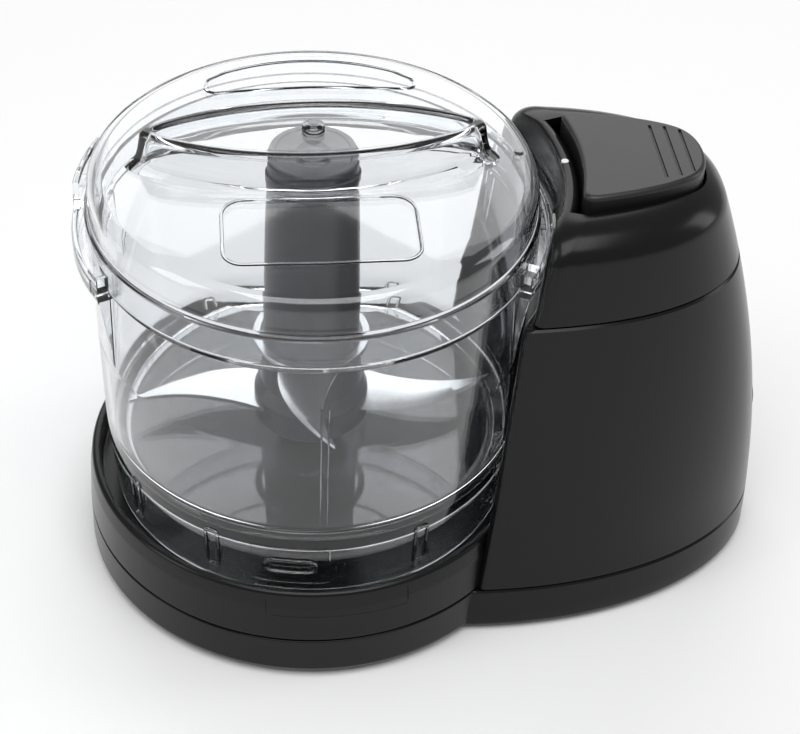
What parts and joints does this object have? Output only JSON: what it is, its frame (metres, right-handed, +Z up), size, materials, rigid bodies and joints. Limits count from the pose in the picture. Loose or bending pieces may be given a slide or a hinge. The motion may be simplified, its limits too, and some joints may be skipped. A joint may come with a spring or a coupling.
{
  "type": "food processor",
  "caption": "Small food processor: clear lidded bowl with a curved blade seated beside a belt-drive motor tower with a pulse button.",
  "frame": {"origin": "under the middle of the whole object, on the surface it stands on", "axes": "+X from the bowl to the motor tower, +Z up, Y across"},
  "size_m": [0.1864, 0.1234, 0.1339],
  "materials": {
    "housing": "black moulded plastic, polished",
    "clear": "clear moulded plastic",
    "hub": "dark grey moulded plastic",
    "steel": "ground stainless steel",
    "dark": "black filled nylon",
    "nylon": "natural moulded nylon",
    "brass": "sintered bearing bronze",
    "zinc": "zinc plated steel",
    "copper": "enamelled and bare copper",
    "carbon": "dark grey ferrite and carbon",
    "rubber": "black rubber",
    "board": "green lacquered circuit board"
  },
  "bodies": {
    "base": {"main_housing": "housing", "bottom_cover": "housing", "tower_cap": "housing", "button_hinge_pin": "steel", "button_spring": "steel", "switch_plate": "dark", "pulse_switch": "dark", "interlock_switch": "dark", "motor_end_cap": "nylon", "lower_bush": "brass", "upper_bush": "brass", "base_screw_1": "zinc", "base_screw_2": "zinc", "base_screw_3": "zinc", "base_screw_4": "zinc", "cap_screw_1": "zinc", "cap_screw_2": "zinc", "motor_screw_1": "zinc", "motor_screw_2": "zinc", "bracket_screw_1": "zinc", "bracket_screw_2": "zinc", "motor_can": "zinc", "motor_bracket": "zinc", "field_magnet_1": "carbon", "field_magnet_2": "carbon", "carbon_brush_1": "carbon", "carbon_brush_2": "carbon", "rubber_foot_1": "rubber", "rubber_foot_2": "rubber", "rubber_foot_3": "rubber", "rubber_foot_4": "rubber", "cord_gland": "rubber", "drive_belt": "rubber", "rectifier_board": "board"},
    "spindle": {"drive_shaft": "steel", "driven_pulley": "nylon", "thrust_washer": "steel"},
    "armature": {"motor_shaft": "steel", "motor_pulley": "dark", "rotor_core": "zinc", "rotor_winding_1": "copper", "rotor_winding_2": "copper", "rotor_winding_3": "copper", "rotor_winding_4": "copper", "rotor_winding_5": "copper", "commutator": "copper"},
    "blade": {"blade_hub": "hub", "hub_cap": "hub", "lower_blade": "steel", "upper_blade": "steel"},
    "bowl": {"bowl": "clear"},
    "lid": {"lid": "clear"},
    "button": {"pulse_button": "housing"},
    "plunger": {"switch_plunger": "nylon"},
    "interlock": {"interlock_pin": "nylon"}
  },
  "joints": [
    {"name": "spindle_spin", "type": "hinge", "parent": "base", "child": "spindle", "pos_m": [-0.03155, 0, 0.0209], "axis": [0, 0, 1], "continuous": true},
    {"name": "armature_spin", "type": "hinge", "parent": "base", "child": "armature", "pos_m": [0.05845, 0, 0.0209], "axis": [0, 0, 1], "continuous": true},
    {"name": "bowl_lift", "type": "slide", "parent": "base", "child": "bowl", "axis": [0, 0, 1], "range_m": [0, 0.12]},
    {"name": "blade_lift", "type": "slide", "parent": "spindle", "child": "blade", "axis": [0, 0, 1], "range_m": [0, 0.12]},
    {"name": "lid_lift", "type": "slide", "parent": "bowl", "child": "lid", "axis": [0, 0, 1], "range_m": [0, 0.06]},
    {"name": "button_press", "type": "hinge", "parent": "base", "child": "button", "pos_m": [0.03945, 0, 0.1134], "axis": [0, 1, 0], "range_deg": [0, 4.5], "stiffness_Nm_per_rad": 0.6, "springref_deg": -3.44, "deforming": ["button_spring"]},
    {"name": "plunger_travel", "type": "slide", "parent": "base", "child": "plunger", "axis": [0, 0, -1], "range_m": [0, 0.0017]},
    {"name": "interlock_travel", "type": "slide", "parent": "base", "child": "interlock", "axis": [-1, 0, 0], "range_m": [0, 0.0015]}
  ],
  "couplings": [
    {"joint": "armature_spin", "follows": "spindle_spin", "ratio": 4},
    {"joint": "blade_lift", "follows": "bowl_lift", "ratio": 1},
    {"joint": "plunger_travel", "follows": "button_press", "m_per_rad": 0.021},
    {"joint": "interlock_travel", "follows": "lid_lift", "ratio": 0.025}
  ]
}
